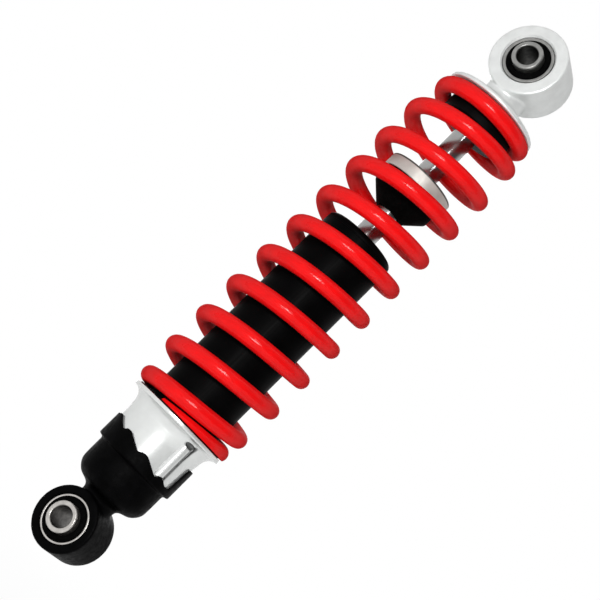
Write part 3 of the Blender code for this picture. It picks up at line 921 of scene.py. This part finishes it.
class SHOCK_OT_collar(bpy.types.Operator):
    """Bright preload collar with its two ribs, and the slip washer under the spring"""
    bl_idname = "shock.collar"
    bl_label = "Preload collar"

    def execute(self, context):
        collar = sizes(context, "shock_collar")
        foot, head = span("preload_collar")
        above_cam = span("lower_bracket")[1] + 0.2
        flare = arc((collar.skirt + 0.5, head - 8.0), (collar.rim - 0.4, head - 1.9), 16)
        outline = [(collar.bore, foot), (collar.skirt, foot), (collar.skirt, above_cam), *flare,
                   (collar.rim, head - 1.5), (collar.rim, head), (collar.bore, head)]
        shape = soften(turned(outline, 160), 0.3, 3, 34.0)
        for index in range(2):
            shape = combined(shape, self.rib(collar, head, rib_right(collar, index)), "UNION")
            shape = combined(shape, self.groove(collar, head, index), "DIFFERENCE")
        even_shading(make_piece(shape, "bright_collar", "turned_aluminium", "cast_aluminium", "collar",
                                "preload_collar"))
        foot = head + 0.05
        head = span("coil_spring")[0] - 0.65
        inside, outside = 19.7, 24.6
        washer = [(inside, foot), (outside, foot), (outside, head), (inside, head)]
        shape = soften(turned(washer), 0.12, 2)
        even_shading(make_piece(shape, "slip_washer", "black_nylon", "nylon", "spring_seat", "spring_washer"))
        return {"FINISHED"}

    def groove(self, collar, head, index):
        """The track of the cutter along a rib, with the hollow where it was lifted out under the flare."""
        radius = 1.15
        foot = collar.lowest - BELOW_CAM
        top = head - HOLLOW_BELOW_RIM
        centre = groove_centre(collar, index)
        track = [(0.0, foot), (radius, foot), (radius, top), (0.0, top)]
        hollow = bmesh.new()
        bmesh.ops.create_uvsphere(hollow, u_segments=32, v_segments=16, radius=MM)
        bmesh.ops.scale(hollow, verts=hollow.verts, vec=(1.5, 3.4, 1.5))
        bmesh.ops.translate(hollow, verts=hollow.verts, vec=Vector((0.6, 0.0, 0.0)) * MM)
        turn = Matrix.Rotation(math.atan2(centre.y, centre.x), 3, "Z")
        bmesh.ops.rotate(hollow, verts=hollow.verts, matrix=turn)
        bmesh.ops.translate(hollow, verts=hollow.verts, vec=hollow_centre(collar, index))
        return combined(turned(track, 32, SHOCK_AXIS, centre), hollow, "UNION")

    def rib(self, collar, head, right_deg):
        """A half-round rib that ends under the flare. Its foot takes the shape of the seat below it."""
        shape = bmesh.new()
        bmesh.ops.create_circle(shape, cap_ends=True, radius=collar.rib * MM, segments=48)
        standoff = collar.cam_ring + 0.7 - collar.rib
        bmesh.ops.translate(shape, verts=shape.verts, vec=(standoff * MM, 0.0, 0.0))
        turn = Matrix.Rotation(math.radians(right_deg + CAMERA_SIDE_DEG), 3, "Z")
        bmesh.ops.rotate(shape, verts=shape.verts, matrix=turn)
        top = bmesh.ops.extrude_face_region(shape, geom=shape.faces[:])
        raised = [item for item in top["geom"] if isinstance(item, bmesh.types.BMVert)]
        for vert in shape.verts:
            right_here = right_of_camera(vert.co)
            seat = max(cam_top(right_here + beside, collar) for beside in (-2.0, 0.0, 2.0))
            vert.co.z = LOWER_EYE.z + (seat + 0.3) * MM
        for vert in raised:
            vert.co.z = LOWER_EYE.z + (head - HOLLOW_BELOW_RIM) * MM
        bmesh.ops.triangulate(shape, faces=[face for face in shape.faces if len(face.verts) > 4])
        bmesh.ops.recalc_face_normals(shape, faces=shape.faces)
        inside = collar.skirt - 0.4
        foot = collar.lowest - BELOW_CAM
        core = turned([(0.0, foot), (inside, foot), (inside, head + 1.0), (0.0, head + 1.0)], 160)
        return combined(shape, core, "DIFFERENCE")


class SHOCK_OT_bracket(bpy.types.Operator):
    """Black lower casting: the cam ring, the cup, the neck and the lower eye"""
    bl_idname = "shock.bracket"
    bl_label = "Lower bracket"

    def execute(self, context):
        bracket = sizes(context, "shock_bracket")
        cam = sizes(context, "shock_collar")
        eyes = sizes(context, "shock_eyes")
        floor = 38.2
        cup_floor = 25.6
        outline = [(0.0, 6.0), (bracket.waist, 6.0), (bracket.waist, 16.2), (9.7, 17.6), (11.4, 18.6),
                   (14.9, 19.7), (16.6, 21.0), (18.2, 22.9), (19.1, 24.9), (bracket.cup, 27.4),
                   (bracket.cup, 37.4), (cam.cam_ring, 37.8), (cam.cam_ring, cam.stop),
                   (cam.cam_bore, cam.stop), (cam.cam_bore, floor), (bracket.cup_bore, floor),
                   (bracket.cup_bore, cup_floor), (0.0, cup_floor)]
        shape = turned(outline, 360)
        for vert in shape.verts:
            if (vert.co.z - LOWER_EYE.z) / MM > cam.stop - 0.1:
                vert.co.z = LOWER_EYE.z + cam_top(right_of_camera(vert.co), cam) * MM
        half = depth("lower_bush_shell") / 2.0
        shape = combined(shape, across(eye_barrel(eyes.lower_eye, half), LOWER_EYE), "UNION")
        shape = melted(shape, bracket.grain)
        smooth(shape, 3)
        smooth(shape, 12, below=30.0)
        shape = combined(shape, across(eye_bore(eyes.lower_bore, half, 0.5), LOWER_EYE), "DIFFERENCE")
        make_piece(shape, "black_bracket", "black_casting", "black_casting", "lower_end", "lower_bracket")
        return {"FINISHED"}


class SHOCK_OT_inner_parts(bpy.types.Operator):
    """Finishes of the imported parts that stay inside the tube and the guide"""
    bl_idname = "shock.inner_parts"
    bl_label = "Inner parts"

    finishes = {
        "turned_steel": ("rod_lock_nut", "rebound_shims", "compression_shims", "piston_nut", "inner_tube",
                         "base_valve"),
        "black_rubber": ("top_out_stop", "oil_seal", "guide_o_ring"),
        "sintered_bronze": ("piston", "rod_guide_bush"),
        "cast_aluminium": ("rod_guide",),
        "black_nylon": ("piston_ring",),
    }

    def execute(self, context):
        for finish, nodes in self.finishes.items():
            for node in nodes:
                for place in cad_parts[node].material_slots:
                    place.material = get_finish(finish)
        return {"FINISHED"}


class SHOCK_OT_stage(bpy.types.Operator):
    """Pale floor, white surroundings, soft lamps and the camera"""
    bl_idname = "shock.stage"
    bl_label = "Stage"

    def execute(self, context):
        stage = context.scene.shock_stage
        context.scene.view_settings.view_transform = "Standard"
        self.make_floor(stage.floor)
        self.make_world(context)
        self.make_lamp("key_softbox", (0.305, -0.794, -0.11), (0.25, 0.12), 4.0, stage.aim)
        self.make_lamp("strip_light", (0.33, -0.78, 0.02), (0.05, 0.4), 1.0, stage.aim)
        self.make_lamp("back_softbox", (-0.45, 0.88, 0.1), (0.7, 0.7), 3.6, stage.aim)
        self.make_camera(context, stage)
        return {"FINISHED"}

    def make_floor(self, height):
        shape = bmesh.new()
        bmesh.ops.create_grid(shape, x_segments=1, y_segments=1, size=4.0)
        bmesh.ops.translate(shape, verts=shape.verts, vec=(0.0, 0.0, height))
        floor = new_object(shape, "pale_floor")
        material, tree, shader = start_finish("pale_floor", 0.0)
        shader.inputs["Base Color"].default_value = (0.9, 0.9, 0.9, 1.0)
        shader.inputs["Roughness"].default_value = 0.9
        rays = fed(tree, "LightPath").outputs
        seen = worked_out(tree, "MAXIMUM", rays["Is Camera Ray"], rays["Is Glossy Ray"])
        seen = worked_out(tree, "MAXIMUM", seen, rays["Is Transmission Ray"])
        away = distance_out(tree, object_places(tree, (0.0, 0.0, height)))
        share = worked_out(tree, "MULTIPLY", seen, graded(tree, away, 0.95, 1.0, 0.2, 0.8))
        surface = mixed(tree, share, shader.outputs["BSDF"], fed(tree, "Emission").outputs["Emission"])
        tree.links.new(surface, tree.nodes["Material Output"].inputs["Surface"])
        floor.data.materials.append(material)

    def make_world(self, context):
        """White to the camera and in mirrors, with one greyer side that gives metal its lines."""
        world = bpy.data.worlds.new("white_tent")
        context.scene.world = world
        world.use_nodes = True
        tree = world.node_tree
        soft = tree.nodes["Background"]
        soft.inputs["Strength"].default_value = 0.22
        white = fed(tree, "Background")
        for plain in (soft, white):
            plain.inputs["Color"].default_value = (1.0, 1.0, 1.0, 1.0)
        toward = fed(tree, "VectorMath", fed(tree, "TexCoord").outputs["Generated"])
        toward.operation = "DOT_PRODUCT"
        toward.inputs[1].default_value = Vector((0.895, -0.435, 0.0)).normalized()
        ramp = fed(tree, "ValToRGB", toward.outputs["Value"])
        for element, place, grey in zip(ramp.color_ramp.elements, (0.3, 0.85), (0.95, 0.1)):
            element.position = place
            element.color = (grey, grey, grey, 1.0)
        mirror = fed(tree, "Background", ramp.outputs["Color"])
        rays = fed(tree, "LightPath").outputs
        seen = worked_out(tree, "MAXIMUM", rays["Is Camera Ray"], rays["Is Transmission Ray"])
        shine = mixed(tree, rays["Is Glossy Ray"], soft.outputs["Background"], mirror.outputs["Background"])
        surface = mixed(tree, seen, shine, white.outputs["Background"])
        tree.links.new(surface, tree.nodes["World Output"].inputs["Surface"])

    def make_lamp(self, name, place, size, power, aim):
        lamp = bpy.data.lights.new(name, "AREA")
        lamp.shape = "RECTANGLE"
        lamp.size, lamp.size_y = size
        lamp.energy = power
        made = bpy.data.objects.new(name, lamp)
        made.location = place
        made.rotation_euler = (Vector(aim) - Vector(place)).to_track_quat("-Z", "Y").to_euler()
        bpy.context.scene.collection.objects.link(made)

    def make_camera(self, context, stage):
        lens = bpy.data.cameras.new("photo_camera")
        lens.lens = stage.lens
        camera = bpy.data.objects.new("photo_camera", lens)
        place = Vector(stage.eye_point)
        look = (Vector(stage.aim) - place).to_track_quat("-Z", "Y").to_matrix().to_4x4()
        camera.matrix_world = Matrix.Translation(place) @ look @ Matrix.Rotation(stage.lean, 4, "Z")
        context.scene.collection.objects.link(camera)
        context.scene.camera = camera


OPERATORS = (
    SHOCK_OT_stage,
    SHOCK_OT_upper_casting,
    SHOCK_OT_bushes,
    SHOCK_OT_spring_guide,
    SHOCK_OT_rod_and_stop,
    SHOCK_OT_spring,
    SHOCK_OT_tube,
    SHOCK_OT_collar,
    SHOCK_OT_bracket,
    SHOCK_OT_inner_parts,
)


class SHOCK_PT_pieces(bpy.types.Panel):
    """Lists the pieces of the shock absorber"""
    bl_idname = "SHOCK_PT_pieces"
    bl_label = "Rear Shock Absorber"
    bl_space_type = "VIEW_3D"
    bl_region_type = "UI"
    bl_category = "Shock"

    def draw(self, context):
        for group in GROUPS:
            box = self.layout.box()
            settings = getattr(context.scene, group)
            for key in GROUPS[group].__annotations__:
                box.prop(settings, key)
        for operator in OPERATORS:
            self.layout.operator(operator.bl_idname)


def register():
    for group in (*GROUPS.values(), *OPERATORS, SHOCK_PT_pieces):
        bpy.utils.register_class(group)
    for name, group in GROUPS.items():
        setattr(bpy.types.Scene, name, PointerProperty(type=group))


def unregister():
    for name in GROUPS:
        delattr(bpy.types.Scene, name)
    for group in (SHOCK_PT_pieces, *OPERATORS, *GROUPS.values()):
        bpy.utils.unregister_class(group)


def main():
    register()
    for operator in OPERATORS:
        family, name = operator.bl_idname.split(".")
        getattr(getattr(bpy.ops, family), name)()


if __name__ == "__main__":
    main()
